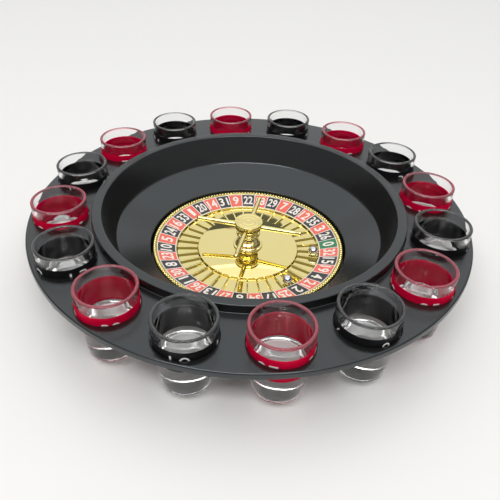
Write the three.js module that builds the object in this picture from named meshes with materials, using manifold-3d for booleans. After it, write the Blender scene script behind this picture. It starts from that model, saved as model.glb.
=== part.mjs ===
// Table-top drinking roulette: a moulded tray with a spinning number wheel in its bowl and a ring of
// shot glasses hanging in its flange. Millimetres, +Z up, origin at the centre of the tray's base.
import * as THREE from 'three';
import { mergeVertices } from 'three/addons/utils/BufferGeometryUtils.js';
import Module from 'manifold-3d';

const wasm = await Module();
wasm.setup();

// ---- driving dimensions ----

const gap = 0.3; // left between pieces that sit on or in each other
const cut = { fine: 0.3, edge: 0.5, foot: 1.2, bowl: 1 }; // how far corners are cut back

const glassCount = 16;
const pocketCount = 37;
const firstGlassAngle = -82.65; // degrees; the glasses are numbered clockwise from here
const zeroCellAngle = 2.2; // degrees; centre of the zero cell on the number ring
const crossAngle = 76.9; // degrees; the first arm of the turret

const tray = {
  wall: 2.2,
  baseRadius: 70.4,
  boss: { radius: 6, height: 4, pinDepth: 3.2 },
  well: { radius: 68, floor: 2.2, edge: 11 },
  bowl: { floorRadius: 90.6, floorHeight: 23.5, topRadius: 98 },
  lip: { radius: 104.2, height: 44.5 },
  flange: { radius: 145, height: 39, thickness: 2.5, skirt: 4 },
  segments: 48,
};

const glass = {
  circleRadius: 124.5,
  height: 44.2,
  base: 7.3, // height of the hanging glass above the table
  footRadius: 13.8,
  shoulderRadius: 17.45, // where the glass passes the top of the flange
  rimRadius: 17.65,
  wall: 2,
  cavityDepth: 24,
  round: 0.7,
  segments: 20,
};

const rotor = {
  rimRadius: 66.8,
  rimHeight: 10.6,
  rimWidth: 2.6,
  skirtBottom: 5,
  ledge: { outerRadius: 64.2, outerHeight: 9.4, innerRadius: 50.4, innerHeight: 6.1 },
  pocket: { floor: 3.7, innerRadius: 35.2, thickness: 1.1 },
  fret: { thickness: 0.9, height: 1.3, sink: 0.3, inset: 0.5 },
  cone: { edgeHeight: 5.7, slope: 3.2 }, // slope in degrees
  shell: 1.5,
  hub: { bore: 3.7, radius: 7, bottom: 6.4 },
  segments: 74,
};

const label = { thickness: 0.4, inset: 0.4 };

const spindle = { radius: 2, bottom: 1.1, top: 12.2 };
const washer = { radius: 5.2, bottom: 4.3, thickness: 0.7 };
const bush = { radius: 3.4, play: 0.1, flangeRadius: 5, flangeThickness: 0.8, bottom: 5.3, top: 9.2 };
const clip = { radius: 4, bottom: 10, thickness: 0.6 };

const turret = {
  base: { flangeRadius: 10.3, flangeThickness: 0.9, columnRadius: 8, columnTop: 11.4 },
  cavity: { radius: 4.6, top: 11.2, pinRadius: 2.6, pinTop: 12.8 },
  waist: { radius: 4.8, height: 13.8 },
  knop: { radius: 8.6, bottom: 15.8, height: 17.3, shoulder: 18.9, topRadius: 7.4, top: 20.2 },
  hub: { radius: 9.2, bottom: 20.5, top: 25.3, chamfer: 1.4 },
  arm: { height: 23.3, reach: 37.6, rootRadius: 1.9, tipRadius: 1.45, knobRadius: 1.8, sides: 8 },
  cap: { radius: 9.8, top: 27.2, grooves: [7.6, 4.6], grooveWidth: 0.5, grooveDepth: 0.3 },
  segments: 24,
};

const ball = { radius: 3.5, lift: 0.05, sides: 12, rings: 8 };
const ballPlaces = [
  { radius: 46.3, angle: -7.2 },
  { radius: 45.9, angle: -55.4 },
];

const finishes = {
  blackPlastic: { color: 0x2b2d2f, roughness: 0.38, metalness: 0 },
  redGlass: { color: 0xb41235, roughness: 0.05, metalness: 0 },
  blackGlass: { color: 0x1c1d20, roughness: 0.05, metalness: 0 },
  gold: { color: 0xe6cf7a, roughness: 0.12, metalness: 1 },
  print: { color: 0xd5573f, roughness: 0.35, metalness: 0 },
  steel: { color: 0xc9ccd0, roughness: 0.1, metalness: 1 },
  brass: { color: 0xb8923f, roughness: 0.3, metalness: 1 },
  nylon: { color: 0xe9e6dc, roughness: 0.6, metalness: 0 },
};

// ---- helpers ----

const radians = THREE.MathUtils.degToRad;
const point = (radius, height) => new THREE.Vector2(radius, height);

// Where the line through a and b passes a radius, and where it passes a height.
function heightAt(a, b, radius) {
  return a.y + ((b.y - a.y) * (radius - a.x)) / (b.x - a.x);
}

function radiusAt(a, b, height) {
  return a.x + ((b.x - a.x) * (height - a.y)) / (b.y - a.y);
}

// The line through a and b, moved to its right by a distance.
function shiftedLine(a, b, distance) {
  const side = point(b.y - a.y, a.x - b.x).normalize().multiplyScalar(distance);
  return [a.clone().add(side), b.clone().add(side)];
}

function crossing([a, b], [c, d]) {
  const along = b.clone().sub(a);
  const other = d.clone().sub(c);
  const t = c.clone().sub(a).cross(other) / along.cross(other);
  return a.clone().addScaledVector(along, t);
}

// A profile from corners [radius, height, size], each cut back by its size along both sides.
function chamfered(corners) {
  return corners.flatMap(([radius, height, size = 0], i) => {
    const here = point(radius, height);
    const towards = (other) => point(...other).sub(here).setLength(size).add(here);
    return size > 0 ? [towards(corners.at(i - 1)), towards(corners[(i + 1) % corners.length])] : [here];
  });
}

// A profile that stays off the axis runs back to its first point.
const closed = (profile) => (profile[0].x > 0 ? [...profile, profile[0]] : profile);

// Turns a profile, listed anticlockwise with the radius to the right, about the Z axis.
function turned(profile, segments, start = 0) {
  const geometry = new THREE.LatheGeometry(closed(profile), segments);
  geometry.rotateX(Math.PI / 2);
  geometry.rotateZ(start);
  return geometry;
}

function toSolid(geometry) {
  const bare = geometry.clone();
  bare.deleteAttribute('normal');
  bare.deleteAttribute('uv');
  const merged = mergeVertices(bare, 1e-4);
  const solid = new wasm.Mesh({
    numProp: 3,
    vertProperties: new Float32Array(merged.attributes.position.array),
    triVerts: new Uint32Array(merged.index.array),
  });
  return new wasm.Manifold(solid);
}

function toGeometry(solid) {
  const mesh = solid.getMesh();
  const geometry = new THREE.BufferGeometry();
  geometry.setAttribute('position', new THREE.BufferAttribute(mesh.vertProperties, 3));
  geometry.setIndex(new THREE.BufferAttribute(mesh.triVerts, 1));
  geometry.computeVertexNormals();
  return geometry;
}

function piece(name, geometry, finish) {
  const mesh = new THREE.Mesh(geometry, new THREE.MeshStandardMaterial(finish));
  mesh.name = name;
  return mesh;
}

function atAngle(geometry, radius, degrees) {
  const angle = radians(degrees);
  return geometry.translate(radius * Math.cos(angle), radius * Math.sin(angle), 0);
}

const glassAngle = (index) => firstGlassAngle - (360 / glassCount) * index;
const fretAngle = (index) => zeroCellAngle + (360 / pocketCount) * (index + 0.5);

// ---- tray ----

function trayProfile() {
  const { wall, boss, well, bowl, lip, flange } = tray;
  const wellEdge = point(well.radius + gap, well.edge);
  const floorEdge = point(bowl.floorRadius, bowl.floorHeight);
  const bowlTop = point(bowl.topRadius, lip.height);
  const coneUnder = shiftedLine(wellEdge, floorEdge, wall);
  const wallUnder = shiftedLine(floorEdge, bowlTop, wall);
  const outside = crossing(coneUnder, wallUnder);
  const hollowTop = lip.height - wall;
  const hollowInner = crossing(wallUnder, [point(0, hollowTop), point(1, hollowTop)]);
  const flangeUnder = flange.height - flange.thickness;
  const skirtInner = flange.radius - wall;
  const skirtBottom = flange.height - flange.skirt;
  const pinFloor = boss.height - boss.pinDepth;
  return chamfered([
    [0, 0],
    [tray.baseRadius, 0, cut.foot],
    [tray.baseRadius, heightAt(...coneUnder, tray.baseRadius)],
    [outside.x, outside.y],
    [hollowInner.x, hollowInner.y],
    [lip.radius - wall, hollowTop],
    [lip.radius - wall, flangeUnder],
    [skirtInner, flangeUnder],
    [skirtInner, skirtBottom],
    [flange.radius, skirtBottom, cut.edge],
    [flange.radius, flange.height, cut.edge],
    [lip.radius, flange.height],
    [lip.radius, lip.height, cut.edge],
    [bowlTop.x, bowlTop.y, cut.bowl],
    [floorEdge.x, floorEdge.y, cut.bowl],
    [wellEdge.x, wellEdge.y, cut.edge],
    [well.radius, well.floor],
    [boss.radius, well.floor],
    [boss.radius, boss.height],
    [spindle.radius + gap, boss.height],
    [spindle.radius + gap, pinFloor],
    [0, pinFloor],
  ]);
}

// The tapered seat that a glass hangs in, as a plug a little wider than the glass.
function seatCutter() {
  const top = tray.flange.height + tray.wall;
  const bottom = tray.flange.height - tray.flange.thickness - tray.wall;
  const [foot, shoulder] = glassTaper();
  const profile = [
    point(0, bottom),
    point(radiusAt(foot, shoulder, bottom) + gap, bottom),
    point(radiusAt(foot, shoulder, top) + gap, top),
    point(0, top),
  ];
  return turned(profile, glass.segments);
}

function makeTray() {
  let solid = toSolid(turned(trayProfile(), tray.segments));
  for (let i = 0; i < glassCount; i += 1) {
    const cutter = atAngle(seatCutter(), glass.circleRadius, glassAngle(i));
    solid = solid.subtract(toSolid(cutter));
  }
  return piece('tray', toGeometry(solid), finishes.blackPlastic);
}

// ---- shot glasses ----

// The straight taper of the outside, from the foot to the top of the flange.
function glassTaper() {
  return [point(glass.footRadius, glass.base), point(glass.shoulderRadius, tray.flange.height)];
}

function glassProfile() {
  const { base, height, wall, cavityDepth, round, rimRadius, shoulderRadius } = glass;
  const [foot, shoulder] = glassTaper();
  const rim = base + height;
  const floor = rim - cavityDepth;
  const innerFloorRadius = radiusAt(foot, shoulder, floor) - wall;
  return chamfered([
    [0, base],
    [foot.x, foot.y, round],
    [shoulderRadius, shoulder.y],
    [rimRadius, rim, round],
    [rimRadius - wall, rim, round],
    [shoulderRadius - wall, shoulder.y],
    [innerFloorRadius, floor, 2 * round],
    [0, floor],
  ]);
}

function makeGlass(index) {
  const geometry = atAngle(turned(glassProfile(), glass.segments), glass.circleRadius, glassAngle(index));
  const finish = index % 2 === 0 ? finishes.redGlass : finishes.blackGlass;
  return piece(`shot_glass_${String(index + 1).padStart(2, '0')}`, geometry, finish);
}

// ---- wheel ----

const coneHeight = (radius) =>
  rotor.cone.edgeHeight + (rotor.pocket.innerRadius - radius) * Math.tan(radians(rotor.cone.slope));

// The top of the printed ring at a radius.
function printHeight(radius) {
  const { outerRadius, outerHeight, innerRadius, innerHeight } = rotor.ledge;
  return heightAt(point(innerRadius, innerHeight), point(outerRadius, outerHeight), radius);
}

// The ledge under the printed ring.
const ledgeHeight = (radius) => printHeight(radius) - label.thickness - gap;

function rotorProfile() {
  const { rimRadius, rimHeight, rimWidth, skirtBottom, ledge, pocket, shell, hub, cone } = rotor;
  const pocketUnder = pocket.floor - pocket.thickness;
  const coneUnder = (radius) => [radius, coneHeight(radius) - shell];
  const ledgeUnder = (radius) => [radius, ledgeHeight(radius) - shell];
  const rimInner = rimRadius - rimWidth;
  return chamfered([
    [hub.bore, hub.bottom],
    [hub.radius, hub.bottom],
    coneUnder(hub.radius + gap),
    coneUnder(pocket.innerRadius - shell),
    [pocket.innerRadius, pocketUnder],
    [ledge.innerRadius + shell, pocketUnder],
    ledgeUnder(ledge.innerRadius + shell),
    ledgeUnder(rimRadius - shell),
    [rimRadius - shell, skirtBottom],
    [rimRadius, skirtBottom, cut.fine],
    [rimRadius, rimHeight, 2 * cut.edge],
    [rimInner, rimHeight, cut.edge],
    [rimInner, ledgeHeight(rimInner)],
    [ledge.innerRadius, ledgeHeight(ledge.innerRadius)],
    [ledge.innerRadius, pocket.floor],
    [pocket.innerRadius, pocket.floor],
    [pocket.innerRadius, cone.edgeHeight],
    [hub.bore, coneHeight(hub.bore)],
  ]);
}

function fretGeometry() {
  const { thickness, height, sink, inset } = rotor.fret;
  const { innerRadius, floor } = rotor.pocket;
  const length = rotor.ledge.innerRadius - innerRadius - 2 * inset;
  const geometry = new THREE.BoxGeometry(length, thickness, height + sink);
  return geometry.translate(innerRadius + inset + length / 2, 0, floor + (height - sink) / 2);
}

function makeRotor() {
  const start = radians(fretAngle(0));
  let solid = toSolid(turned(rotorProfile(), rotor.segments, start));
  for (let i = 0; i < pocketCount; i += 1) {
    solid = solid.add(toSolid(fretGeometry().rotateZ(radians(fretAngle(i)))));
  }
  return piece('wheel_rotor', toGeometry(solid), finishes.gold);
}

function makeNumberRing() {
  const inner = rotor.ledge.innerRadius + label.inset;
  const outer = rotor.ledge.outerRadius - label.inset;
  const profile = [
    point(inner, printHeight(inner) - label.thickness),
    point(outer, printHeight(outer) - label.thickness),
    point(outer, printHeight(outer)),
    point(inner, printHeight(inner)),
  ];
  return piece('number_ring', turned(profile, rotor.segments, radians(fretAngle(0))), finishes.print);
}

function makeBall(name, place) {
  const geometry = new THREE.SphereGeometry(ball.radius, ball.sides, ball.rings).rotateX(Math.PI / 2);
  geometry.translate(0, 0, rotor.pocket.floor + ball.radius + ball.lift);
  return piece(name, atAngle(geometry, place.radius, place.angle), finishes.steel);
}

// ---- spindle and bearing ----

const tube = (inner, outer, bottom, top) =>
  chamfered([[inner, bottom], [outer, bottom], [outer, top], [inner, top]]);

function makeSpindle() {
  const { radius, bottom, top } = spindle;
  const profile = chamfered([[0, bottom], [radius, bottom], [radius, top, cut.edge], [0, top]]);
  return piece('spindle', turned(profile, turret.segments), finishes.steel);
}

function makeWasher() {
  const profile = tube(spindle.radius + gap, washer.radius, washer.bottom, washer.bottom + washer.thickness);
  return piece('thrust_washer', turned(profile, turret.segments), finishes.nylon);
}

function makeBush() {
  const { radius, flangeRadius, flangeThickness, bottom, top } = bush;
  const bore = spindle.radius + bush.play;
  const profile = chamfered([
    [bore, bottom],
    [flangeRadius, bottom],
    [flangeRadius, bottom + flangeThickness],
    [radius, bottom + flangeThickness],
    [radius, top],
    [bore, top],
  ]);
  return piece('rotor_bush', turned(profile, turret.segments), finishes.brass);
}

function makeClip() {
  const profile = tube(spindle.radius + gap, clip.radius, clip.bottom, clip.bottom + clip.thickness);
  return piece('retaining_clip', turned(profile, turret.segments), finishes.steel);
}

// ---- turret ----

function makeTurretBase() {
  const { flangeRadius, flangeThickness, columnRadius, columnTop } = turret.base;
  const { radius, top, pinRadius, pinTop } = turret.cavity;
  const under = (r) => coneHeight(r) + gap;
  const flangeTop = under(flangeRadius) + flangeThickness;
  const waistTop = turret.waist.height - gap / 2;
  const profile = chamfered([
    [radius, under(radius)],
    [flangeRadius, under(flangeRadius)],
    [flangeRadius, flangeTop, cut.fine],
    [columnRadius, flangeTop, cut.fine],
    [columnRadius, columnTop, cut.foot],
    [turret.waist.radius, waistTop],
    [0, waistTop],
    [0, pinTop],
    [pinRadius, pinTop],
    [pinRadius, top],
    [radius, top],
  ]);
  return piece('turret_base', turned(profile, turret.segments), finishes.gold);
}

function makeTurretStem() {
  const { radius, bottom, height, shoulder, topRadius, top } = turret.knop;
  const waistTop = turret.waist.height + gap / 2;
  const profile = chamfered([
    [0, waistTop],
    [turret.waist.radius, waistTop],
    [radius - cut.foot, bottom],
    [radius, height, cut.edge],
    [topRadius, shoulder],
    [topRadius, top],
    [0, top],
  ]);
  return piece('turret_stem', turned(profile, turret.segments), finishes.gold);
}

// A tapered arm with a round knob on its end, lying along +X.
function armGeometry() {
  const { height, reach, rootRadius, tipRadius, knobRadius, sides } = turret.arm;
  const start = turret.hub.radius / 2;
  const neckAngle = Math.acos(tipRadius / knobRadius);
  const knob = [-neckAngle, 0, Math.PI / 4].map((angle) =>
    point(knobRadius * Math.cos(angle), reach - knobRadius + knobRadius * Math.sin(angle)));
  const profile = [point(0, start), point(rootRadius, start), ...knob, point(0, reach)];
  const geometry = new THREE.LatheGeometry(profile, sides);
  geometry.rotateZ(-Math.PI / 2);
  return geometry.translate(0, 0, height);
}

function makeTurretCross() {
  const { radius, bottom, top, chamfer } = turret.hub;
  const hub = chamfered([[0, bottom], [radius, bottom, chamfer], [radius, top, cut.edge], [0, top]]);
  let solid = toSolid(turned(hub, turret.segments));
  for (let i = 0; i < 4; i += 1) {
    solid = solid.add(toSolid(armGeometry().rotateZ(radians(crossAngle + 90 * i))));
  }
  return piece('turret_cross', toGeometry(solid), finishes.gold);
}

function makeTurretCap() {
  const { radius, top, grooves, grooveWidth, grooveDepth } = turret.cap;
  const bottom = turret.hub.top + gap;
  const grooved = grooves.flatMap((r) =>
    [[r + grooveWidth, top], [r, top - grooveDepth], [r - grooveWidth, top]]);
  const corners = [[0, bottom], [radius, bottom, cut.edge], [radius, top, cut.edge], ...grooved, [0, top]];
  return piece('turret_cap', turned(chamfered(corners), turret.segments), finishes.gold);
}

// ---- assembly ----

const roulette = new THREE.Group();
roulette.add(makeTray());
for (let i = 0; i < glassCount; i += 1) {
  roulette.add(makeGlass(i));
}

const wheel = new THREE.Group();
wheel.add(makeRotor(), makeNumberRing(), makeBush());
wheel.add(makeTurretBase(), makeTurretStem(), makeTurretCross(), makeTurretCap());
ballPlaces.forEach((place, index) => wheel.add(makeBall(`ball_${index + 1}`, place)));
roulette.add(wheel, makeSpindle(), makeWasher(), makeClip());

export default roulette;
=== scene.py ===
import math

import bmesh
import bpy
from mathutils import Matrix, Vector


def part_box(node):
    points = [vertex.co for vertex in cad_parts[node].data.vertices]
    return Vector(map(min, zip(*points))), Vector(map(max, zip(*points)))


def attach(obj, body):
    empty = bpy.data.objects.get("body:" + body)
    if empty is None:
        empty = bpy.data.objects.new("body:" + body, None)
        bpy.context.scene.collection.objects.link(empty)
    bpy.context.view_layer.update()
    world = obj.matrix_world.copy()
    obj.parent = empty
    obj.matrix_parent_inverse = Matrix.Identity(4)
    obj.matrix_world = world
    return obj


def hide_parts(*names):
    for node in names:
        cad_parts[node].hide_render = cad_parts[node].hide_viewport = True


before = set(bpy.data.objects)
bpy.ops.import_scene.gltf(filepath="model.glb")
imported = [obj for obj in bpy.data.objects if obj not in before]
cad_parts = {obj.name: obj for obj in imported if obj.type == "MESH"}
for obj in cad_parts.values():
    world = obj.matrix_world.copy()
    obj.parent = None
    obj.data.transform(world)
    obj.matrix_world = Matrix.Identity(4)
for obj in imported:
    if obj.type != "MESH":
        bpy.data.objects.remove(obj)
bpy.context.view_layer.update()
mm = 0.001
print("frame loaded")


# ---------- small tools for shaders ----------

class Wire:  # a shader socket that takes part in Python sums
    def __init__(self, tree, socket):
        self.tree = tree
        self.socket = socket

    def math(self, operation, *terms):
        node = self.tree.nodes.new("ShaderNodeMath")
        node.operation = operation
        for slot, term in zip(node.inputs, terms):
            if isinstance(term, Wire):
                self.tree.links.new(term.socket, slot)
            else:
                slot.default_value = term
        return Wire(self.tree, node.outputs[0])

    def __add__(self, other):
        return self.math("ADD", self, other)

    def __sub__(self, other):
        return self.math("SUBTRACT", self, other)

    def __rsub__(self, other):
        return self.math("SUBTRACT", other, self)

    def __mul__(self, other):
        return self.math("MULTIPLY", self, other)

    def __truediv__(self, other):
        return self.math("DIVIDE", self, other)

    def __gt__(self, other):
        return self.math("GREATER_THAN", self, other)

    __radd__ = __add__
    __rmul__ = __mul__


class Finish:  # one material with a Principled shader and object coordinates in metres
    def __init__(self, name, **fixed):
        self.material = bpy.data.materials.new(name)
        self.material.use_nodes = True
        self.tree = self.material.node_tree
        self.shader = self.tree.nodes["Principled BSDF"]
        self.place = self.node("ShaderNodeTexCoord", out="Object")
        self.set({key.replace("_", " "): value for key, value in fixed.items()})

    def node(self, kind, settings=None, inputs=None, out=0):
        node = self.tree.nodes.new(kind)
        for key, value in (settings or {}).items():
            if key == "stops":
                self.setStops(node.color_ramp, value)
            else:
                setattr(node, key, value)
        self.fill(node, inputs or {})
        return Wire(self.tree, node.outputs[out])

    def setStops(self, ramp, stops):
        while len(ramp.elements) < len(stops):
            ramp.elements.new(0.5)
        for element, (position, shade) in zip(ramp.elements, stops):
            element.position = position
            element.color = (*shade, 1) if isinstance(shade, tuple) else (shade, shade, shade, 1)

    def fill(self, node, inputs):
        for key, value in inputs.items():
            socket = node.inputs[key]
            if isinstance(value, Wire):
                self.tree.links.new(value.socket, socket)
            elif isinstance(value, tuple) and len(value) == 3 and socket.type == "RGBA":
                socket.default_value = (*value, 1)
            else:
                socket.default_value = value

    def set(self, inputs):
        self.fill(self.shader, inputs)
        return self

    def noise(self, size, detail=3.0, roughness=0.55, place=None):  # size of a blotch in millimetres
        inputs = {"Vector": place or self.place, "Scale": 1 / (size * mm), "Detail": detail, "Roughness": roughness}
        return self.node("ShaderNodeTexNoise", None, inputs)

    def stretched(self, x, y, z):
        return self.node("ShaderNodeMapping", None, {"Vector": self.place, "Scale": (x, y, z)})

    def ramp(self, value, stops):
        return self.node("ShaderNodeValToRGB", {"stops": stops}, {"Fac": value})

    def blend(self, factor, first, second, kind="MIX"):
        node = self.tree.nodes.new("ShaderNodeMix")
        node.data_type = "RGBA"
        node.blend_type = kind
        self.fill(node, {0: factor, 6: first, 7: second})
        return Wire(self.tree, node.outputs[2])

    def bump(self, height, depth, strength=1.0, under=None):  # depth in millimetres
        inputs = {"Height": height, "Distance": depth * mm, "Strength": strength}
        if under:
            inputs["Normal"] = under
        return self.node("ShaderNodeBump", None, inputs)


# ---------- finishes ----------

plasticLook = {"shade": (0.0075, 0.0072, 0.007), "dustShade": (0.0125, 0.0125, 0.0125), "roughness": 0.235, "grain": 0.35}
goldLook = {"shade": (0.92, 0.81, 0.38), "deepShade": (0.895, 0.765, 0.32), "roughness": 0.055}
steelLook = {"shade": (0.78, 0.78, 0.8), "roughness": 0.05}
inkLook = {"red": (0.95, 0.004, 0.052), "redGlow": (1.0, 0.012, 0.33), "through": 0.6, "gloss": 0.12, "black": (0.006, 0.006, 0.0065), "white": (0.86, 0.85, 0.83)}
cellLook = {"red": (0.82, 0.135, 0.085), "black": (0.02, 0.021, 0.023), "green": (0.02, 0.19, 0.075)}


def blackPlastic():
    look = Finish("blackPlastic", Specular_Tint=(0.86, 0.95, 1.0), Specular_IOR_Level=0.85)
    grain = look.noise(plasticLook["grain"], detail=2.0)
    cloud = look.noise(24, detail=4.0)
    fleck = look.noise(1.3, detail=6.0, roughness=0.7) > 0.69
    shade = look.blend(cloud * 0.5 + fleck * 0.35, plasticLook["shade"], plasticLook["dustShade"])
    rub = look.noise(9, detail=5.0, place=look.stretched(1, 6, 1))
    look.set({"Base Color": shade, "Roughness": plasticLook["roughness"] + (rub - 0.5) * 0.05 + fleck * 0.06})
    look.set({"Normal": look.bump(grain, 0.003, 0.3)})
    return look.material


def goldPlate(name, roughness, ripple):
    look = Finish(name, Metallic=1.0)
    cloud = look.noise(14, detail=3.0)
    swirl = look.noise(3.2, detail=2.0)
    grain = look.noise(0.4, detail=2.0)
    look.set({"Base Color": look.blend(cloud, goldLook["shade"], goldLook["deepShade"])})
    look.set({"Roughness": roughness + (grain - 0.5) * 0.04 + (cloud - 0.5) * 0.03})
    look.set({"Normal": look.bump(swirl, ripple, 0.6)})
    return look.material


def polishedSteel():
    look = Finish("polishedSteel", Metallic=1.0)
    smudge = look.noise(1.6, detail=3.0)
    look.set({"Base Color": look.blend(smudge, steelLook["shade"], (0.66, 0.66, 0.69))})
    look.set({"Roughness": steelLook["roughness"] + (smudge - 0.5) * 0.05})
    return look.material


def turnedMetal(name, shade, darker, roughness):
    look = Finish(name, Metallic=1.0)
    lines = look.noise(0.25, detail=2.0, place=look.stretched(0.05, 0.05, 1))
    look.set({"Base Color": look.blend(lines, shade, darker), "Roughness": roughness + (lines - 0.5) * 0.1})
    look.set({"Normal": look.bump(lines, 0.01, 0.5)})
    return look.material


def washerNylon():
    look = Finish("washerNylon", Subsurface_Weight=0.2)
    grain = look.noise(0.3)
    look.set({"Base Color": look.blend(grain, (0.80, 0.78, 0.72), (0.72, 0.70, 0.64)), "Roughness": 0.5 + grain * 0.15})
    look.set({"Normal": look.bump(grain, 0.01)})
    return look.material


def clearGlass(name, tint, frost, through=1.0):
    look = Finish(name, Transmission_Weight=through, IOR=1.5, Base_Color=tint)
    waves = look.noise(9, detail=1.0, place=look.stretched(1, 1, 0.4))
    smudge = look.noise(4, detail=4.0)
    look.set({"Roughness": frost + (smudge - 0.66) * 0.05, "Normal": look.bump(waves, 0.02, 0.2)})
    return look.material


def bandInk(name, shade, light, roughness, glow=None):  # glow lets light through the printed layer
    look = Finish(name, IOR=1.45, Specular_IOR_Level=inkLook["gloss"])
    screen = look.noise(0.22, detail=1.0)
    patch = look.noise(6, detail=3.0)
    look.set({"Base Color": look.blend(patch * 0.6, shade, light), "Roughness": roughness + (screen - 0.5) * 0.1})
    look.set({"Normal": look.bump(screen, 0.006, 0.5)})
    if glow:
        through = look.node("ShaderNodeBsdfTranslucent", None, {"Color": glow})
        mixed = look.node("ShaderNodeMixShader", None, {0: inkLook["through"], 1: Wire(look.tree, look.shader.outputs[0]), 2: through})
        look.fill(look.tree.nodes["Material Output"], {"Surface": mixed})
    return look.material


def labelPrint(name, shade):
    look = Finish(name, Coat_Weight=0.25, Coat_Roughness=0.2)
    fibre = look.noise(0.18, detail=3.0)
    fade = look.noise(11, detail=3.0)
    worn = tuple(min(1.0, channel * 1.12 + 0.012) for channel in shade)
    look.set({"Base Color": look.blend(fade * 0.7 + fibre * 0.2, shade, worn), "Roughness": 0.36 + (fibre - 0.5) * 0.15})
    look.set({"Normal": look.bump(fibre, 0.008, 0.4)})
    return look.material


def tableTop():
    look = Finish("tableTop", Base_Color=(0.86, 0.855, 0.84), Roughness=0.3, Specular_IOR_Level=0.35)
    return look.material


finishes = {
    "blackPlastic": blackPlastic(),
    "gold": goldPlate("goldPlate", goldLook["roughness"], 0.006),
    "goldMirror": goldPlate("goldMirror", 0.035, 0.004),
    "steelBall": polishedSteel(),
    "steel": turnedMetal("turnedSteel", (0.62, 0.62, 0.64), (0.48, 0.48, 0.5), 0.25),
    "brass": turnedMetal("turnedBrass", (0.78, 0.58, 0.24), (0.62, 0.45, 0.18), 0.25),
    "nylon": washerNylon(),
    "glass": clearGlass("clearGlass", (0.985, 0.99, 0.988), 0.0),
    "glassFloor": clearGlass("pressedGlass", (0.97, 0.975, 0.975), 0.3),
    # the pink tint on the clear rim is painted light: the red band's glow carried up through the glass
    "redRim": clearGlass("pinkRimPaintedGlowGlass", (0.95, 0.3, 0.38), 0.1, 0.8),
    # the grey tint on the clear rim is painted shade: the black band's darkness carried up through the glass
    "blackRim": clearGlass("greyRimPaintedShadeGlass", (0.6, 0.61, 0.62), 0.08, 0.92),
    "redInk": bandInk("redInk", inkLook["red"], (0.98, 0.006, 0.075), 0.4, inkLook["redGlow"]),
    "blackInk": bandInk("blackInk", inkLook["black"], (0.014, 0.014, 0.016), 0.3),
    "whiteInk": bandInk("whiteInk", inkLook["white"], (0.9, 0.9, 0.88), 0.35),
    "labelWhite": labelPrint("labelWhite", (0.86, 0.80, 0.74)),
    "labelRed": labelPrint("labelRed", cellLook["red"]),
    "labelBlack": labelPrint("labelBlack", cellLook["black"]),
    "labelGreen": labelPrint("labelGreen", cellLook["green"]),
}
print("finishes made")


# ---------- small tools for shapes, in millimetres ----------

def circle(radius, height, count, x=0.0, y=0.0, first=0.0):
    if radius < 1e-6:
        return [(x, y, height)]
    turns = [first + 2 * math.pi * i / count for i in range(count)]
    return [(x + radius * math.cos(t), y + radius * math.sin(t), height) for t in turns]


def filleted(corners, ring=False, step=15):  # corners are (radius, height) or (radius, height, fillet)
    points = []
    for i, corner in enumerate(corners):
        here = Vector(corner[:2])
        if len(corner) < 3 or corner[2] == 0:
            points.append(tuple(here))
            continue
        into = (here - Vector(corners[i - 1][:2])).normalized()
        out = (Vector(corners[(i + 1) % len(corners)][:2]) - here).normalized()
        turn = math.atan2(into.x * out.y - into.y * out.x, into.dot(out))
        start = here - into * corner[2] * math.tan(abs(turn) / 2)
        side = Vector((-into.y, into.x)) * math.copysign(corner[2], turn)
        steps = max(2, math.ceil(math.degrees(abs(turn)) / step))
        for k in range(steps + 1):
            arm = Matrix.Rotation(turn * k / steps, 2) @ -side
            points.append(tuple(start + side + arm))
    if ring:
        points.append(points[0])
    return points


class Form:  # gathers lofted skins and closes them into one mesh
    def __init__(self):
        self.vertices = []
        self.faces = []
        self.slots = []

    def loft(self, rings, slot=0):  # rings have one length, or one point for a pole
        starts = []
        for ring in rings:
            starts.append(len(self.vertices))
            self.vertices += ring
        for low, high, lowStart, highStart in zip(rings, rings[1:], starts, starts[1:]):
            count = max(len(low), len(high))
            for i in range(count):
                j = (i + 1) % count
                quad = [lowStart + i % len(low), lowStart + j % len(low)]
                quad += [highStart + j % len(high), highStart + i % len(high)]
                self.faces.append(tuple(dict.fromkeys(quad)))
                self.slots.append(slot)
        return self

    def turn(self, profile, count, x=0.0, y=0.0, first=0.0, slot=0):
        return self.loft([circle(r, z, count, x, y, first) for r, z in profile], slot)

    def piece(self, name, materials, sharp=32):
        mesh = bpy.data.meshes.new(name)
        mesh.from_pydata([tuple(c * mm for c in v) for v in self.vertices], [], self.faces)
        for material in materials:
            mesh.materials.append(finishes[material])
        mesh.polygons.foreach_set("material_index", self.slots)
        work = bmesh.new()
        work.from_mesh(mesh)
        bmesh.ops.remove_doubles(work, verts=work.verts, dist=1e-7)
        work.to_mesh(mesh)
        work.free()
        return newPiece(name, mesh, sharp)


def newPiece(name, mesh, sharp=32):
    mesh.shade_smooth()
    mesh.set_sharp_from_angle(angle=math.radians(sharp))
    piece = bpy.data.objects.new(name, mesh)
    bpy.context.scene.collection.objects.link(piece)
    return piece


def placeOf(node):  # a turned CAD piece's centre, radius, foot and top
    low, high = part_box(node)
    middle = (low + high) / 2 / mm
    return {"x": middle.x, "y": middle.y, "radius": (high.x - low.x) / 2 / mm, "foot": low.z / mm, "top": high.z / mm}


def stand(piece, body, slot, *nodes):
    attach(piece, body)
    if nodes:
        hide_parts(*nodes)
    return piece


def heightOn(a, b, radius):
    return a[1] + (b[1] - a[1]) * (radius - a[0]) / (b[0] - a[0])


def radiusOn(a, b, height):
    return a[0] + (b[0] - a[0]) * (height - a[1]) / (b[1] - a[1])


def shifted(a, b, distance):  # the line a-b moved to its right
    along = Vector(b) - Vector(a)
    side = Vector((along.y, -along.x)).normalized() * distance
    return tuple(Vector(a) + side), tuple(Vector(b) + side)


def crossing(first, second):
    (a, b), (c, d) = [[Vector(p) for p in line] for line in (first, second)]
    along, other = b - a, d - c
    t = ((c - a).x * other.y - (c - a).y * other.x) / (along.x * other.y - along.y * other.x)
    return tuple(a + along * t)


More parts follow.
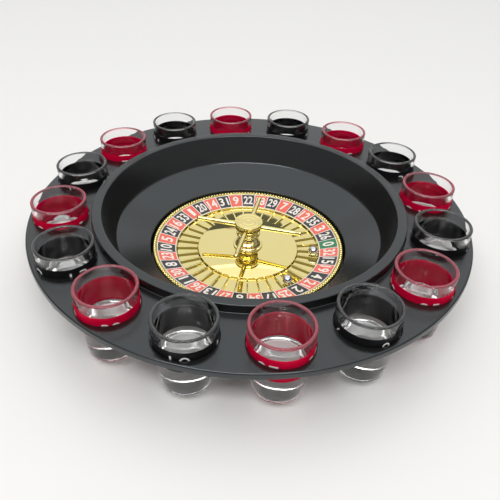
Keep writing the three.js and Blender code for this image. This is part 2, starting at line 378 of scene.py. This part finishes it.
# ---------- Geometry Nodes: one small shape repeated round the wheel's axis ----------

def ringTree():
    tree = bpy.data.node_groups.new("repeatRound", "GeometryNodeTree")
    sockets = [("Shape", "NodeSocketObject"), ("Count", "NodeSocketInt"), ("First Angle", "NodeSocketFloat"),
               ("Finish", "NodeSocketMaterial")]
    for name, kind in sockets:
        tree.interface.new_socket(name, in_out="INPUT", socket_type=kind)
    tree.interface.new_socket("Geometry", in_out="OUTPUT", socket_type="NodeSocketGeometry")
    add, link = tree.nodes.new, tree.links.new
    given, result = add("NodeGroupInput"), add("NodeGroupOutput")
    shape, points, index = add("GeometryNodeObjectInfo"), add("GeometryNodePoints"), add("GeometryNodeInputIndex")
    step, turn, angle = add("ShaderNodeMath"), add("ShaderNodeMath"), add("ShaderNodeCombineXYZ")
    copies, solid, painted = add("GeometryNodeInstanceOnPoints"), add("GeometryNodeRealizeInstances"), add("GeometryNodeSetMaterial")
    step.operation, turn.operation = "DIVIDE", "MULTIPLY_ADD"
    step.inputs[0].default_value = 2 * math.pi
    link(given.outputs["Shape"], shape.inputs["Object"])
    link(given.outputs["Count"], points.inputs["Count"])
    link(given.outputs["Count"], step.inputs[1])
    link(index.outputs[0], turn.inputs[0])
    link(step.outputs[0], turn.inputs[1])
    link(given.outputs["First Angle"], turn.inputs[2])
    link(turn.outputs[0], angle.inputs["Z"])
    link(points.outputs[0], copies.inputs["Points"])
    link(shape.outputs["Geometry"], copies.inputs["Instance"])
    link(angle.outputs[0], copies.inputs["Rotation"])
    link(copies.outputs[0], solid.inputs[0])
    link(solid.outputs[0], painted.inputs["Geometry"])
    link(given.outputs["Finish"], painted.inputs["Material"])
    link(painted.outputs[0], result.inputs[0])
    return tree


roundTree = ringTree()


def repeated(name, shape, count, firstDegrees, finish, sharp=40):
    holder = bpy.data.objects.new(name + "Nodes", bpy.data.meshes.new(name + "Nodes"))
    bpy.context.scene.collection.objects.link(holder)
    modifier = holder.modifiers.new("repeatRound", "NODES")
    modifier.node_group = roundTree
    values = {"Shape": shape, "Count": count, "First Angle": math.radians(firstDegrees), "Finish": finishes[finish]}
    for item in roundTree.interface.items_tree:
        if item.in_out == "INPUT":
            modifier[item.identifier] = values[item.name]
    ready = holder.evaluated_get(bpy.context.evaluated_depsgraph_get())
    mesh = bpy.data.meshes.new_from_object(ready)
    mesh.name = name
    bpy.data.objects.remove(holder)
    bpy.data.objects.remove(shape)
    return newPiece(name, mesh, sharp)


# ---------- tray ----------

traySize = {
    "wall": 2.2, "base": 70.4, "bossRadius": 6.0, "bossTop": 4.0, "pinHole": 2.3, "pinDepth": 3.2,
    "wellRadius": 68.0, "wellFloor": 2.2, "wellEdge": 11.0,
    "floorRadius": 90.6, "floorHeight": 23.5, "bowlTop": 98.0, "lipRadius": 104.2,
    "flangeDrop": 5.5, "flangeThickness": 2.5, "skirt": 4.0, "seatFillet": 0.5,
}
glassCount = 16
sideSteps = 16  # quads along each side of the patch round one seat
seatGap = 0.3
tray = placeOf("tray")
flangeTop = tray["top"] - traySize["flangeDrop"]
glasses = [placeOf(f"shot_glass_{i + 1:02d}") for i in range(glassCount)]
glassCircle = math.hypot(glasses[0]["x"], glasses[0]["y"])
sector = 2 * math.pi / glassCount

glassSize = {
    "footRadius": 13.8, "shoulderRadius": 17.45, "neckRadius": 17.3, "wall": 2.0, "cavityDepth": 24.0,
    "bandLow": {"red": 27.4, "black": 29.2}, "bandHigh": 43.7, "bandThickness": 0.08, "footFillet": 1.6, "rimFillet": 0.95,
    # the depth under the rim that takes the painted rim light
    "paintedRimLightDepth": 1.0, "floorBlur": 1.4, "figureHeight": 8.0, "figureMiddle": {"red": 35.7, "black": 36.9}, "figureWidth": 10.6, "figureBold": -0.012,
}
glassFoot = (glassSize["footRadius"], glasses[0]["foot"])
glassShoulder = (glassSize["shoulderRadius"], flangeTop)


def seatRings(glass):  # the tapered seat, from the flange's top down to its underside
    size = traySize
    under = flangeTop - size["flangeThickness"]
    high = radiusOn(glassFoot, glassShoulder, flangeTop) + seatGap
    low = radiusOn(glassFoot, glassShoulder, under) + seatGap
    corners = [(high + 3, flangeTop), (high, flangeTop, size["seatFillet"]), (low, under, 0.3), (low + 3, under)]
    profile = filleted(corners, step=22)[1:-1]
    start = math.atan2(glass["y"], glass["x"]) - 3 * math.pi / 4
    return [circle(r, z, 4 * sideSteps, glass["x"], glass["y"], start) for r, z in profile]


def patchEdge(middle, inner, outer, height):  # the border of the patch round one seat, anticlockwise
    def at(radius, part):
        angle = middle + sector * (part - 0.5)
        return (radius * math.cos(angle), radius * math.sin(angle), height)

    shares = [i / sideSteps for i in range(sideSteps)]
    edge = [at(inner + (outer - inner) * s, 0) for s in shares]
    edge += [at(outer, s) for s in shares]
    edge += [at(outer + (inner - outer) * s, 1) for s in shares]
    edge += [at(inner, 1 - s) for s in shares]
    return edge


def between(first, second, share):
    return [tuple(a + (b - a) * share for a, b in zip(p, q)) for p, q in zip(first, second)]


def makeTray():
    size = traySize
    wall, edge, top = size["wall"], tray["radius"], tray["top"]
    wellEdge = (size["wellRadius"] + 0.3, size["wellEdge"])
    floorEdge = (size["floorRadius"], size["floorHeight"])
    bowlTop = (size["bowlTop"], top)
    coneUnder = shifted(wellEdge, floorEdge, wall)
    wallUnder = shifted(floorEdge, bowlTop, wall)
    hollow = top - wall
    under = flangeTop - size["flangeThickness"]
    skirt = flangeTop - size["skirt"]
    underInner, underOuter = size["lipRadius"] + 0.2, edge - wall - 0.6
    topInner, topOuter = size["lipRadius"] + 0.7, edge - 1.4
    underside = [
        (0, 0.4), (size["base"] - 12, 0.4, 1.0), (size["base"] - 11.4, 0, 0.3), (size["base"], 0, 1.0),
        (size["base"], heightOn(*coneUnder, size["base"]), 1.5), (*crossing(coneUnder, wallUnder), 4.0),
        (*crossing(wallUnder, ((0, hollow), (1, hollow))), 0.8), (size["lipRadius"] - wall, hollow, 0.8),
        (size["lipRadius"] - wall, under, 0.6), (underInner, under),
    ]
    rimSide = [
        (underOuter, under), (edge - wall, under, 0.4), (edge - wall, skirt, 0.4), (edge, skirt, 0.4),
        (edge, flangeTop, 1.1), (topOuter, flangeTop),
    ]
    inside = [
        (topInner, flangeTop), (size["lipRadius"], flangeTop, 0.5), (size["lipRadius"], top, 0.9),
        (*bowlTop, 1.3), (*floorEdge, 3.0), (*wellEdge, 0.8), (size["wellRadius"], size["wellFloor"], 0.8),
        (size["bossRadius"], size["wellFloor"], 0.8), (size["bossRadius"], size["bossTop"], 0.5),
        (size["pinHole"], size["bossTop"], 0.2), (size["pinHole"], size["bossTop"] - size["pinDepth"]),
        (0, size["bossTop"] - size["pinDepth"]),
    ]
    form = Form()
    first = math.atan2(glasses[0]["y"], glasses[0]["x"]) + sector / 2
    for corners in (underside, rimSide, inside):
        form.turn(filleted(corners, step=11), glassCount * sideSteps, first=first)
    for glass in glasses:
        middle = math.atan2(glass["y"], glass["x"])
        rings = seatRings(glass)
        topEdge = patchEdge(middle, topInner, topOuter, flangeTop)
        lowEdge = patchEdge(middle, underInner, underOuter, under)
        form.loft([topEdge] + [between(topEdge, rings[0], s) for s in (0.5, 0.92)] + rings)
        form.loft([rings[-1]] + [between(rings[-1], lowEdge, s) for s in (0.08, 0.5)] + [lowEdge])
    piece = form.piece("trayMoulding", ["blackPlastic"], sharp=50)
    return stand(piece, "tray", "black_plastic", "tray")


makeTray()
print("tray made")


# ---------- figures ----------

figureFont = {"bold": 0.022, "thickness": 0.16}


def figureMesh(text, height, width, bold=figureFont["bold"], slices=0.0):  # a flat number about its own middle, with a small thickness
    curve = bpy.data.curves.new("figure", "FONT")
    curve.body = text
    curve.align_x = "CENTER"
    curve.offset = bold
    curve.resolution_u = 3
    holder = bpy.data.objects.new("figure", curve)
    bpy.context.scene.collection.objects.link(holder)
    ready = holder.evaluated_get(bpy.context.evaluated_depsgraph_get())
    mesh = bpy.data.meshes.new_from_object(ready)
    bpy.data.objects.remove(holder)
    work = bmesh.new()
    work.from_mesh(mesh)
    bpy.data.meshes.remove(mesh)
    xs = [v.co.x for v in work.verts]
    ys = [v.co.y for v in work.verts]
    spread = width / (max(xs) - min(xs)) if len(text) > 1 else 0.55 * height / (max(xs) - min(xs)) * (0.6 if text == "1" else 1)
    for v in work.verts:
        v.co.x = (v.co.x - (min(xs) + max(xs)) / 2) * spread
        v.co.y = (v.co.y - (min(ys) + max(ys)) / 2) * height / (max(ys) - min(ys))
    for size, normal in ((width, Vector((1, 0, 0))), (height, Vector((0, 1, 0)))):
        cut = -size / 2
        while slices and cut < size / 2:
            everything = work.verts[:] + work.edges[:] + work.faces[:]
            bmesh.ops.bisect_plane(work, geom=everything, plane_co=normal * cut, plane_no=normal)
            cut += slices
    extruded = bmesh.ops.extrude_face_region(work, geom=work.faces[:])
    for item in extruded["geom"]:
        if isinstance(item, bmesh.types.BMVert):
            item.co.z += figureFont["thickness"]
    bmesh.ops.recalc_face_normals(work, faces=work.faces[:])
    return work


class Figures:  # collects placed numbers into one mesh
    def __init__(self):
        self.work = bmesh.new()

    def add(self, figure, placed):  # placed turns a flat point into its place on the object
        shown = {}
        for v in figure.verts:
            shown[v.index] = self.work.verts.new(Vector(placed(*v.co)) * mm)
        for face in figure.faces:
            self.work.faces.new([shown[v.index] for v in face.verts])
        figure.free()

    def piece(self, name, finish):
        mesh = bpy.data.meshes.new(name)
        self.work.to_mesh(mesh)
        self.work.free()
        mesh.materials.append(finishes[finish])
        return newPiece(name, mesh, 30)


# ---------- shot glasses ----------

redNumbers = [1, 3, 5, 7, 9, 12, 14, 16, 18, 19, 21, 23, 25, 27, 30, 32, 34, 36]
blackNumbers = [n for n in range(1, 37) if n not in redNumbers]
figurePlaces = 4  # printed figures round one glass
glassTurns = 72
figureStart = {"angle": -114.0, "turn": 21.0, "redShift": 6, "blackShift": 2}


def glassOutside(rim):
    neck = (glassSize["neckRadius"], rim - 5.5, 14)
    return [glassFoot, (*glassShoulder, 30), neck]


def makeGlass(index):
    size, place = glassSize, glasses[index]
    foot, rim, wall = place["foot"], place["top"], size["wall"]
    floor = rim - size["cavityDepth"]
    taper = (glassFoot, glassShoulder)
    outside = [
        (0, foot + 0.5), (glassFoot[0] - 4, foot + 0.45, 3), (glassFoot[0] - 2.6, foot, 0.8),
        (*glassFoot, size["footFillet"]), (*glassShoulder, 20), (size["neckRadius"], rim - 5.5, 14),
        (place["radius"], rim, size["rimFillet"]),
    ]
    inside = [
        (place["radius"] - wall, rim, size["rimFillet"]), (size["neckRadius"] - wall, rim - 5.5, 14),
        (glassShoulder[0] - wall, flangeTop, 20), (radiusOn(*taper, floor) - wall, floor, 3.2), (0, floor + 0.35),
    ]
    profile = filleted(outside + inside, step=9)
    name = f"shot_glass_{index + 1:02d}"
    colour = "red" if index % 2 == 0 else "black"
    form = Form().turn(profile, glassTurns, place["x"], place["y"])
    for step, (low, high) in enumerate(zip(profile, profile[1:])):
        middle = ((low[0] + high[0]) / 2, (low[1] + high[1]) / 2)
        # faces this close under the rim take a rim finish with painted light: pink over red bands, grey over black ones
        inPaintedRimLight = middle[1] > rim - size["paintedRimLightDepth"]
        onFloor = abs(middle[1] - floor) < size["floorBlur"] and middle[0] < glassFoot[0] - wall / 2
        form.slots[step * glassTurns:(step + 1) * glassTurns] = [1 if inPaintedRimLight else 2 if onFloor else 0] * glassTurns
    body = form.piece(f"glass_{index + 1:02d}", ["glass", colour + "Rim", "glassFloor"], sharp=60)
    slot = f"{colour}_banded_glass"
    stand(body, name, slot, name)
    stand(makeBand(index, colour), name, slot)
    stand(makeBandFigures(index, colour), name, slot)


def bandRadius(height, lift):
    return radiusOn(glassFoot, glassShoulder, min(height, flangeTop)) + lift


def makeBand(index, colour):
    size, place = glassSize, glasses[index]
    low, high = size["bandLow"][colour], size["bandHigh"]
    heights = [low, flangeTop, high]
    outer = [(bandRadius(z, size["bandThickness"]), z) for z in heights]
    inner = [(bandRadius(z, -size["bandThickness"]), z) for z in reversed(heights)]
    profile = outer + inner + outer[:1]
    form = Form().turn(profile, 72, place["x"], place["y"])
    return form.piece(f"band_{index + 1:02d}", [colour + "Ink"], sharp=40)


def makeBandFigures(index, colour):
    size, place = glassSize, glasses[index]
    numbers = redNumbers if colour == "red" else blackNumbers
    group = (index // 2 + figureStart[colour + "Shift"]) % 8
    share = numbers[18 * group // 8:18 * (group + 1) // 8]
    figures = Figures()
    for k in range(figurePlaces):
        angle = math.radians(figureStart["angle"] + figureStart["turn"] * index + 360 / figurePlaces * k)
        text = str(share[k % len(share)])
        figure = figureMesh(text, size["figureHeight"], size["figureWidth"], size["figureBold"], slices=1.0)

        def onGlass(x, y, z, angle=angle):
            height = size["figureMiddle"][colour] + y
            radius = bandRadius(height, size["bandThickness"] + z - 0.05)
            turn = angle + x / glassShoulder[0]
            return (place["x"] + radius * math.cos(turn), place["y"] + radius * math.sin(turn), height)

        figures.add(figure, onGlass)
    return figures.piece(f"bandFigures_{index + 1:02d}", "whiteInk")


for number in range(glassCount):
    makeGlass(number)
print("glasses made")


# ---------- wheel ----------

pocketCount = 37
pitch = 360 / pocketCount
wheelOrder = [0, 32, 15, 19, 4, 21, 2, 25, 17, 34, 6, 27, 13, 36, 11, 30, 8, 23, 10, 5, 24, 16, 33, 1, 20, 14, 31, 9,
              22, 18, 29, 7, 28, 12, 35, 3, 26]
wheelSize = {
    "zeroAngle": 2.2, "rimWidth": 2.6, "shell": 1.5, "ledgeOuter": 64.2, "ledgeInner": 50.4,
    "ledgeHigh": 9.4, "ledgeLow": 6.1, "labelDrop": 0.45, "pocketFloor": 3.7, "pocketInner": 35.2,
    "coneEdge": 5.7, "coneSlope": math.tan(math.radians(3.2)), "hubBore": 3.7, "hubRadius": 7.0, "hubFoot": 6.4,
}
fretSize = {"thickness": 0.95, "height": 1.3, "sides": 8}
rimBead = {"count": 180, "along": 1.2, "wide": 0.98, "height": 1.0, "sides": 16, "rows": 5}
labelSize = {"line": 0.55, "edge": 0.5, "figureHeight": 8.2, "figureWidth": 7.2}
wheel = placeOf("wheel_rotor")


def coneHeight(radius):
    return wheelSize["coneEdge"] + (wheelSize["pocketInner"] - radius) * wheelSize["coneSlope"]


def labelHeight(radius):
    low = (wheelSize["ledgeInner"], wheelSize["ledgeLow"])
    return heightOn(low, (wheelSize["ledgeOuter"], wheelSize["ledgeHigh"]), radius)


def makeWheel():
    size = wheelSize
    rim, top, foot = wheel["radius"], wheel["top"], wheel["foot"] + 2.4
    shell, drop = size["shell"], size["labelDrop"]
    pocketUnder = size["pocketFloor"] - shell + 0.4
    wallOut = size["ledgeInner"] + shell
    rimIn = rim - size["rimWidth"]
    skirtIn = rim - shell
    corners = [
        (size["hubBore"], size["hubFoot"]), (size["hubRadius"], size["hubFoot"], 0.3),
        (size["hubRadius"] + 0.2, coneHeight(size["hubRadius"]) - shell, 0.3),
        (size["pocketInner"] - shell, coneHeight(size["pocketInner"] - shell) - shell, 0.5),
        (size["pocketInner"], pocketUnder, 0.5), (wallOut, pocketUnder, 0.5),
        (wallOut, labelHeight(wallOut) - drop - shell, 0.5), (skirtIn, labelHeight(skirtIn) - drop - shell, 0.5),
        (skirtIn, foot, 0.2), (rim, foot, 0.3), (rim, top - rimBead["height"], 0.5), (rimIn, top - rimBead["height"], 0.4),
        (rimIn, labelHeight(rimIn) - drop, 0.25), (size["ledgeInner"], labelHeight(size["ledgeInner"]) - drop + 0.35, 0.35),
        (size["ledgeInner"] - 0.35, size["pocketFloor"] + 0.05, 0.9), (size["pocketInner"] + 0.4, size["pocketFloor"], 0.35),
        (size["pocketInner"], size["coneEdge"], 0.35), (14, coneHeight(14)),
        (size["hubBore"], coneHeight(size["hubBore"])),
    ]
    profile = filleted(corners, ring=True, step=14)
    piece = Form().turn(profile, pocketCount * 6).piece("wheelDish", ["goldMirror"], sharp=40)
    return stand(piece, "wheel", "gold_plating", "wheel_rotor")


def makeFrets():
    size, fret = wheelSize, fretSize
    inner, outer = size["pocketInner"] + 0.1, size["ledgeInner"] - 0.3
    rings = []
    for along, crest in ((inner - 0.1, 0.55), (inner + 0.6, 1.0), (outer - 1.5, 1.0), (outer, 1.25)):
        ring = []
        for k in range(fret["sides"] + 1):
            turn = math.pi * k / fret["sides"]
            side = fret["thickness"] / 2 * math.cos(turn)
            rise = fret["height"] * crest * (0.88 + 0.12 * math.sin(turn)) if 0 < k < fret["sides"] else -0.15
            ring.append((along, side, size["pocketFloor"] + rise))
        rings.append(ring)
    caps = [[tuple(sum(axis) / len(ring) for axis in zip(*ring))] for ring in (rings[0], rings[-1])]
    shape = Form().loft([caps[0], *rings, caps[1]]).piece("fret", ["gold"])
    bmeshFix(shape)
    piece = repeated("pocketFrets", shape, pocketCount, size["zeroAngle"] + pitch / 2, "gold")
    return stand(piece, "wheel", "gold_plating")


def bmeshFix(piece):  # turns every face outwards
    work = bmesh.new()
    work.from_mesh(piece.data)
    bmesh.ops.recalc_face_normals(work, faces=work.faces[:])
    work.to_mesh(piece.data)
    work.free()


def makeRimBeads():
    rim, top, bead = wheel["radius"], wheel["top"], rimBead
    middle = rim - wheelSize["rimWidth"] / 2
    profile = []
    for k in range(bead["rows"] + 1):
        turn = math.pi / 2 * k / bead["rows"]
        profile.append((math.cos(turn), math.sin(turn)))
    form = Form()
    rings = [[(x, y, -0.6) for x, y, _ in circle(1, 0, bead["sides"])]]
    rings += [[(x, y, up) for x, y, _ in circle(wide, 0, bead["sides"])] for wide, up in profile[:-1]] + [[(0, 0, 1)]]
    low = top - bead["height"]
    scaled = [[(middle + x * bead["along"], y * bead["wide"], low + z * bead["height"]) for x, y, z in ring] for ring in rings]
    foot = [[(middle, 0, scaled[0][0][2])]]
    shape = form.loft(foot + scaled).piece("bead", ["gold"])
    piece = repeated("rimBeads", shape, bead["count"], 0, "gold", sharp=60)
    return stand(piece, "wheel", "gold_plating")


def cellFinish(place):
    return 3 if place == 0 else 1 if place % 2 else 2


def makeLabel():
    size = labelSize
    inner, outer = wheelSize["ledgeInner"] + 0.4, wheelSize["ledgeOuter"] - 0.4
    stops = [inner, inner + size["edge"], outer - size["edge"], outer]
    form = Form()
    vertices, faces, slots = form.vertices, form.faces, form.slots
    cuts = []  # angle and the cell that starts there, or None for a white line
    for place in range(pocketCount):
        middle = math.radians(wheelSize["zeroAngle"] - pitch * place)
        half = math.radians(pitch) / 2 - size["line"] / 2 / 57
        for k in range(5):
            cuts.append((middle + half * (1 - k / 2), place if k < 4 else None))
    heights = [labelHeight(r) for r in stops]
    ringsUp = [[(r * math.cos(a), r * math.sin(a), z) for a, _ in cuts] for r, z in zip(stops, heights)]
    ringsDown = [[(x, y, z - 0.3) for x, y, z in ring] for ring in (ringsUp[-1], ringsUp[0])]
    form.loft(ringsUp + ringsDown + ringsUp[:1])
    count = len(cuts)
    for i, (_, place) in enumerate(cuts):
        if place is not None:
            slots[count + i] = cellFinish(place)
    piece = form.piece("numberLabel", ["labelWhite", "labelRed", "labelBlack", "labelGreen"], sharp=30)
    bmeshFix(piece)
    return stand(piece, "wheel", "printed_label", "number_ring")


def makeLabelFigures():
    size = labelSize
    middleRadius = (wheelSize["ledgeInner"] + wheelSize["ledgeOuter"]) / 2 + 0.2
    slope = (wheelSize["ledgeHigh"] - wheelSize["ledgeLow"]) / (wheelSize["ledgeOuter"] - wheelSize["ledgeInner"])
    figures = Figures()
    for place, number in enumerate(wheelOrder):
        angle = math.radians(wheelSize["zeroAngle"] - pitch * place)
        figure = figureMesh(str(number), size["figureHeight"], size["figureWidth"])

        def onLabel(x, y, z, angle=angle):
            radius = middleRadius + y
            height = labelHeight(middleRadius) + slope * y + z - 0.08
            out, across = Vector((math.cos(angle), math.sin(angle))), Vector((math.sin(angle), -math.cos(angle)))
            flat = out * radius + across * x
            return (flat.x, flat.y, height)

        figures.add(figure, onLabel)
    return stand(figures.piece("labelFigures", "labelWhite"), "wheel", "printed_label")


makeWheel()
makeFrets()
makeRimBeads()
makeLabel()
makeLabelFigures()
print("wheel made")


# ---------- turret ----------

turretSize = {
    "flangeThickness": 0.9, "columnRadius": 8.0, "columnTop": 11.4, "waist": 4.8,
    "cavity": 4.6, "cavityTop": 11.2, "pinRadius": 2.6, "pinTop": 12.8,
    "hubRadius": 9.2, "armHeight": 23.3, "armRoot": 1.9, "armTip": 1.42, "knob": 1.8, "crossAngle": 76.9,
    "grooves": (7.6, 4.6), "grooveWidth": 0.5, "grooveDepth": 0.3,
}
turretTurns = 96


def makeTurretBase():
    size, base = turretSize, placeOf("turret_base")
    edge = base["radius"]
    top = coneHeight(edge) + 0.15 + size["flangeThickness"]
    corners = [
        (size["cavity"], coneHeight(size["cavity"]) + 0.15), (edge, coneHeight(edge) + 0.15, 0.2), (edge, top, 0.4),
        (size["columnRadius"] + 0.9, top + 0.15, 0.3), (size["columnRadius"] + 0.3, top + 0.7, 0.4),
        (size["columnRadius"], size["columnTop"] - 0.9, 0.8), (size["columnRadius"] - 1.3, size["columnTop"] + 0.3, 0.8),
        (size["waist"] + 0.4, base["top"] - 0.9, 0.8), (size["waist"], base["top"]), (0, base["top"]),
    ]
    lining = [(0, size["pinTop"]), (size["pinRadius"], size["pinTop"]), (size["pinRadius"], size["cavityTop"]),
              (size["cavity"], size["cavityTop"])]
    form = Form().turn(filleted(corners + lining, ring=True), turretTurns)
    return stand(form.piece("turretBase", ["gold"], 40), "wheel", "gold_plating", "turret_base")


def makeTurretStem():
    size, stem = turretSize, placeOf("turret_stem")
    wide, foot, top = stem["radius"], stem["foot"] - 0.2, stem["top"]
    corners = [
        (0, foot), (size["waist"], foot), (size["waist"] + 0.2, foot + 0.8, 0.9), (wide - 1.6, foot + 1.9, 0.8),
        (wide, foot + 2.7, 0.9), (wide, foot + 4.0, 0.8), (wide - 1.4, foot + 4.7, 0.4), (wide - 1.3, top), (0, top),
    ]
    form = Form().turn(filleted(corners), turretTurns)
    return stand(form.piece("turretStem", ["gold"], 40), "wheel", "gold_plating", "turret_stem")


def makeTurretCross():
    size, cross = turretSize, placeOf("turret_cross")
    low, high = cross["foot"], cross["top"]
    corners = [
        (0, low), (size["hubRadius"] - 1.6, low, 0.3), (size["hubRadius"] - 0.6, low + 1.0, 0.5),
        (size["hubRadius"], low + 1.7, 0.5), (size["hubRadius"], high, 0.5), (0, high),
    ]
    form = Form().turn(filleted(corners), turretTurns)
    reach = max(abs(value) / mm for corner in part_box("turret_cross") for value in corner[:2])
    reach /= max(abs(math.cos(math.radians(size["crossAngle"]))), abs(math.sin(math.radians(size["crossAngle"]))))
    knobAt = reach - size["knob"]
    neck = knobAt - math.sqrt(size["knob"] ** 2 - size["armTip"] ** 2)
    knob = [(size["knob"] * math.cos(t), knobAt + size["knob"] * math.sin(t)) for t in
            (math.asin((neck - knobAt) / size["knob"]) + k * math.radians(13) for k in range(1, 10))]
    arm = [(size["armRoot"], size["hubRadius"] - 2), (size["armTip"] + 0.15, neck - 4), (size["armTip"], neck)]
    arm += [p for p in knob if p[1] < reach - 0.02 and p[0] > 0.05] + [(0, reach)]
    for k in range(4):
        turn = math.radians(size["crossAngle"] + 90 * k)
        out, across = Vector((math.cos(turn), math.sin(turn), 0)), Vector((-math.sin(turn), math.cos(turn), 0))
        rings = []
        for radius, along in arm:
            flat = circle(radius, 0, 20)
            rings.append([tuple(out * along + across * y + Vector((0, 0, size["armHeight"] + x))) for x, y, _ in flat])
        form.loft(rings)
    piece = form.piece("turretCross", ["gold"], 40)
    return stand(piece, "wheel", "gold_plating", "turret_cross")


def makeTurretCap():
    size, cap = turretSize, placeOf("turret_cap")
    edge, low, high = cap["radius"], cap["foot"] - 0.25, cap["top"]
    corners = [(0, low), (edge - 0.3, low, 0.2), (edge, low + 0.5, 0.4), (edge, high, 0.55)]
    for groove in size["grooves"]:
        corners += [(groove + size["grooveWidth"], high, 0.15), (groove, high - size["grooveDepth"], 0.2),
                    (groove - size["grooveWidth"], high, 0.15)]
    corners += [(1.6, high, 0.3), (1.2, high - 0.25, 0.3), (0, high - 0.2)]
    form = Form().turn(filleted(corners), turretTurns)
    return stand(form.piece("turretCap", ["gold"], 40), "wheel", "gold_plating", "turret_cap")


makeTurretBase()
makeTurretStem()
makeTurretCross()
makeTurretCap()
print("turret made")


# ---------- balls, spindle and bearing ----------

def makeBall(name):
    place = placeOf(name)
    middle, radius = (place["foot"] + place["top"]) / 2, (place["top"] - place["foot"]) / 2
    rows = 32
    turns = [-math.pi / 2 + math.pi * k / rows for k in range(rows + 1)]
    profile = [(radius * math.cos(t) if 0 < k < rows else 0, middle + radius * math.sin(t)) for k, t in enumerate(turns)]
    form = Form().turn(profile, 64, place["x"], place["y"])
    return stand(form.piece(name + "_steel", ["steelBall"], 80), name, "polished_steel", name)


def makeRing(name, node, body, slot, finish, bore, round=0.15):
    place = placeOf(node)
    foot, top, wide = place["foot"], place["top"], place["radius"]
    corners = [(bore, foot, round), (wide, foot, round), (wide, top, round), (bore, top, round)]
    form = Form().turn(filleted(corners, ring=True), 64)
    return stand(form.piece(name, [finish], 40), body, slot, node)


def makeSpindle():
    pin = placeOf("spindle")
    corners = [(0, pin["foot"]), (pin["radius"], pin["foot"], 0.3), (pin["radius"], pin["top"], 0.5), (0, pin["top"])]
    form = Form().turn(filleted(corners), 48)
    return stand(form.piece("spindlePin", ["steel"], 40), "tray", "steel", "spindle")


def makeBush():
    bush = placeOf("rotor_bush")
    step = bush["foot"] + 0.8
    corners = [(2.1, bush["foot"], 0.15), (bush["radius"], bush["foot"], 0.15), (bush["radius"], step, 0.15), (3.4, step, 0.1),
               (3.4, bush["top"], 0.2), (2.1, bush["top"], 0.2)]
    form = Form().turn(filleted(corners, ring=True), 64)
    return stand(form.piece("rotorBush", ["brass"], 40), "wheel", "brass", "rotor_bush")


makeBall("ball_1")
makeBall("ball_2")
makeRing("thrustWasher", "thrust_washer", "tray", "nylon", "nylon", 2.3)
makeRing("retainingClip", "retaining_clip", "tray", "steel", "steel", 2.3, 0.1)
makeSpindle()
makeBush()
print("balls and bearing made")


# ---------- table, light and camera ----------

lightLook = {
    "world": 0.3, "shade": (1, 0.998, 0.992),
    "canopy": {"place": (0, 0.4, 2.4), "size": (4.4, 3.6), "radiance": 0.83, "aim": (0, 0.4, 0)},
    "backdrop": {"place": (0, 2.1, 1.25), "size": (4.4, 2.3), "radiance": 0.56, "aim": (0, 0, 1.25)},
    "lamp": {"place": (-0.1, -0.93, 1.43), "size": (1.6, 0.36), "radiance": 7.8, "aim": (0, 0, 0)},
}
cameraPlace = {"x": -7.16, "y": -324.97, "rise": 209.93, "elevation": 34.417, "roll": 1.57, "lens": 40.98,
               "shiftX": 0.0234, "shiftY": -0.0564}


def makeTable():
    half = 3000
    form = Form()
    form.vertices += [(-half, -half, 0), (half, -half, 0), (half, half, 0), (-half, half, 0)]
    form.faces.append((0, 1, 2, 3))
    form.slots.append(0)
    finishes["table"] = tableTop()
    form.piece("table", ["table"])


def areaLight(name, look):
    light = bpy.data.lights.new(name, "AREA")
    light.shape = "RECTANGLE"
    light.size, light.size_y = look["size"]
    light.energy = look["radiance"] * math.pi * light.size * light.size_y
    light.color = lightLook["shade"]
    lamp = bpy.data.objects.new(name, light)
    lamp.location = look["place"]
    lamp.rotation_euler = (Vector(look["aim"]) - Vector(look["place"])).to_track_quat("-Z", "Y").to_euler()
    bpy.context.scene.collection.objects.link(lamp)


def makeLights():
    world = bpy.data.worlds.new("studio")
    world.use_nodes = True
    world.node_tree.nodes["Background"].inputs["Color"].default_value = (*lightLook["shade"], 1)
    world.node_tree.nodes["Background"].inputs["Strength"].default_value = lightLook["world"]
    bpy.context.scene.world = world
    for name in ("canopy", "backdrop", "lamp"):
        areaLight(name, lightLook[name])


def makeCamera():
    place = cameraPlace
    lens = bpy.data.cameras.new("camera")
    lens.lens, lens.sensor_width = place["lens"], 36
    lens.shift_x, lens.shift_y = place["shiftX"], place["shiftY"]
    lens.clip_start, lens.clip_end = 0.01, 20
    camera = bpy.data.objects.new("camera", lens)
    tilt = Matrix.Rotation(math.radians(90 - place["elevation"]), 4, "X")
    roll = Matrix.Rotation(math.radians(place["roll"]), 4, "Z")
    spot = Vector((place["x"], place["y"], flangeTop + place["rise"])) * mm
    camera.matrix_world = Matrix.Translation(spot) @ tilt @ roll
    bpy.context.scene.collection.objects.link(camera)
    bpy.context.scene.camera = camera


makeTable()
makeLights()
makeCamera()
bpy.context.scene.view_settings.view_transform = "Standard"
print("table, lights and camera made")
